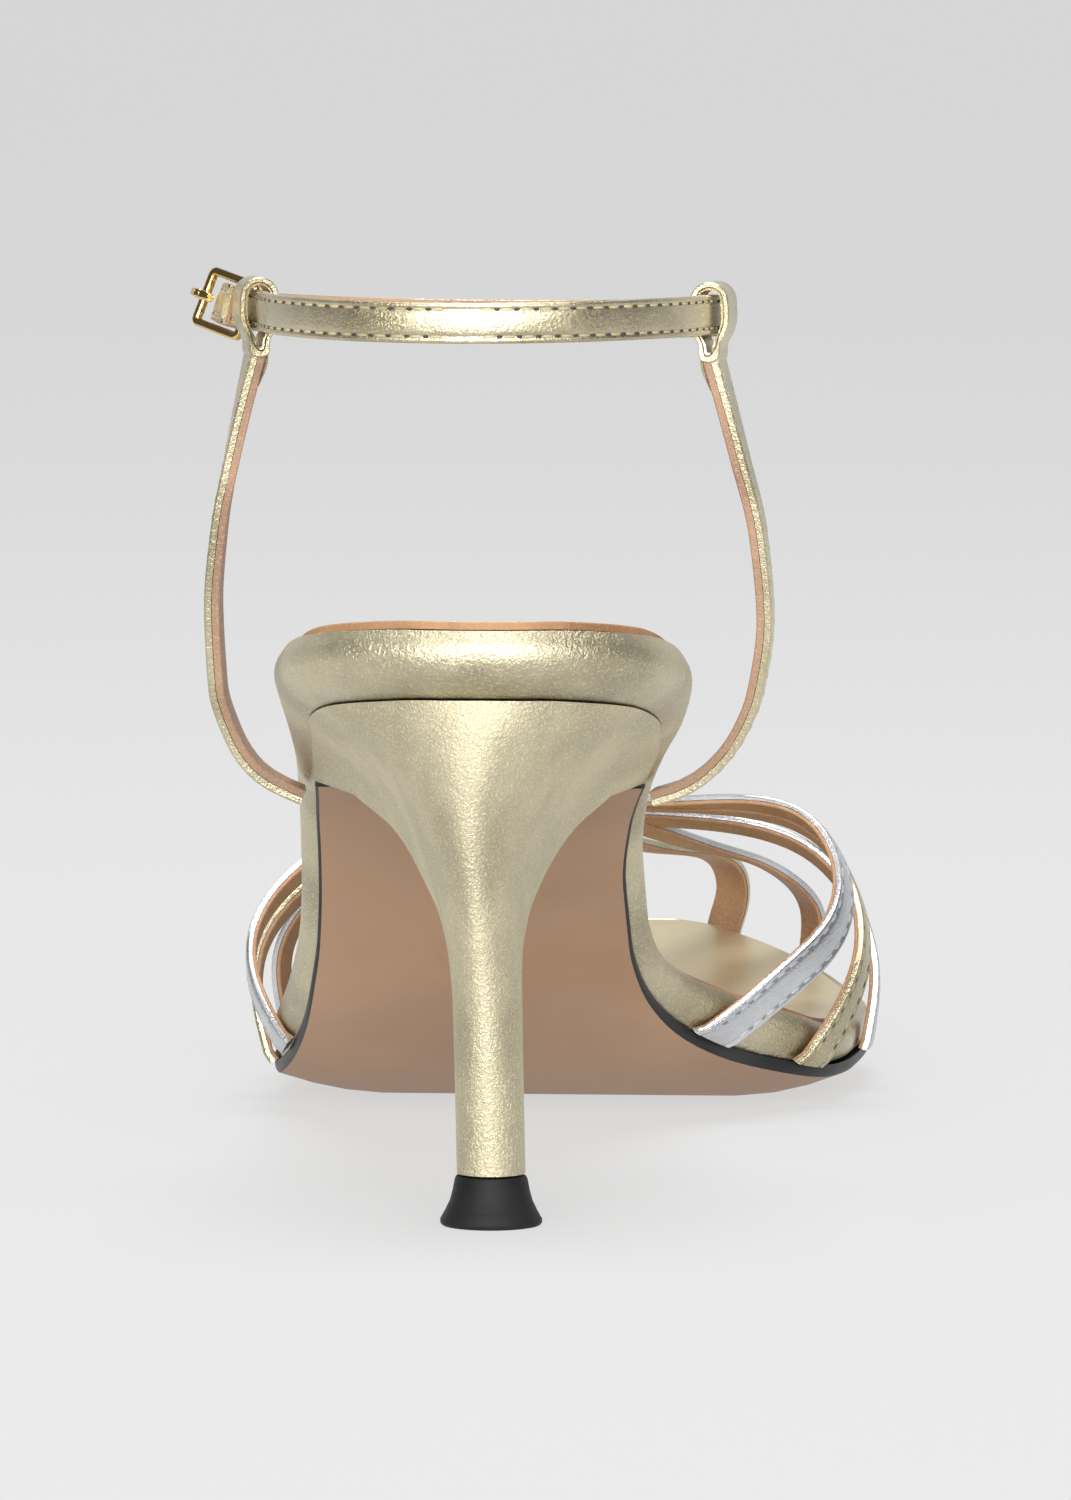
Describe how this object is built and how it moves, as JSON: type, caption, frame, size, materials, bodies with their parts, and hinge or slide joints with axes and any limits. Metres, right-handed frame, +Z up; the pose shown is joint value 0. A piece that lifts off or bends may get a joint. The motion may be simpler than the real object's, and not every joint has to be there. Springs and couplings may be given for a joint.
{
  "type": "strappy heeled sandal",
  "caption": "Left heeled sandal with crossing metallic leather toe straps, slim stem heel, thin side stays and a buckled ankle strap",
  "frame": {"origin": "middle of the heel's wear piece, on the floor", "axes": "+Y runs along the sole to the toe, +X is the inner side of the foot, +Z is up"},
  "size_m": [0.0874, 0.2301, 0.1183],
  "materials": {
    "gold_leather": "metallic, satin, fine grain",
    "silver_leather": "metallic, satin, fine grain",
    "tan_leather": "smooth, satin",
    "black_rubber": "matt",
    "polished_gold": "polished"
  },
  "bodies": {
    "root": {"outsole": "tan_leather", "insole": "gold_leather", "insole_sock": "gold_leather", "heel": "gold_leather", "heel_top_piece": "black_rubber", "upper": "silver_leather", "stay_lateral": "gold_leather", "stay_medial": "gold_leather", "ankle_strap": "gold_leather", "buckle_frame": "polished_gold", "buckle_prong": "polished_gold"}
  },
  "joints": []
}
